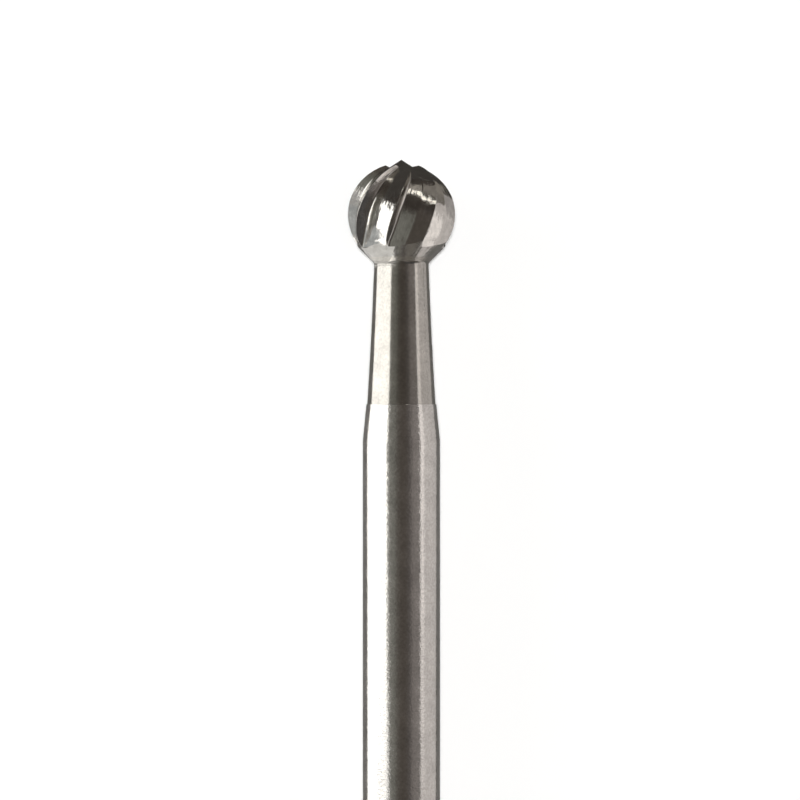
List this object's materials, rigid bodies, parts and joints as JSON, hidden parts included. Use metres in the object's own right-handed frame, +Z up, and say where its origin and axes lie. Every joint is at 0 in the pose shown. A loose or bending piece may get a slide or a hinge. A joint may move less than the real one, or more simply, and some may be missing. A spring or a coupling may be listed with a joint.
{
  "type": "carbide burr",
  "caption": "Round fluted cutting head brazed to a straight cylindrical handpiece shank with a slim tapered neck, lying flat.",
  "frame": {"origin": "on the surface that the tool lies on, below the centre of its bounding box", "axes": "+X along the tool, from the shank's rear end towards the head's centre point; +Z up"},
  "size_m": [0.0446, 0.003, 0.0031],
  "materials": {
    "carbide": "ground, bright",
    "braze_alloy": "ground flush, pale",
    "shank_steel": "ground neck, finely mottled shank"
  },
  "bodies": {
    "root": {"carbide_head": "carbide", "braze_seam": "braze_alloy", "steel_shank": "shank_steel"}
  },
  "joints": []
}
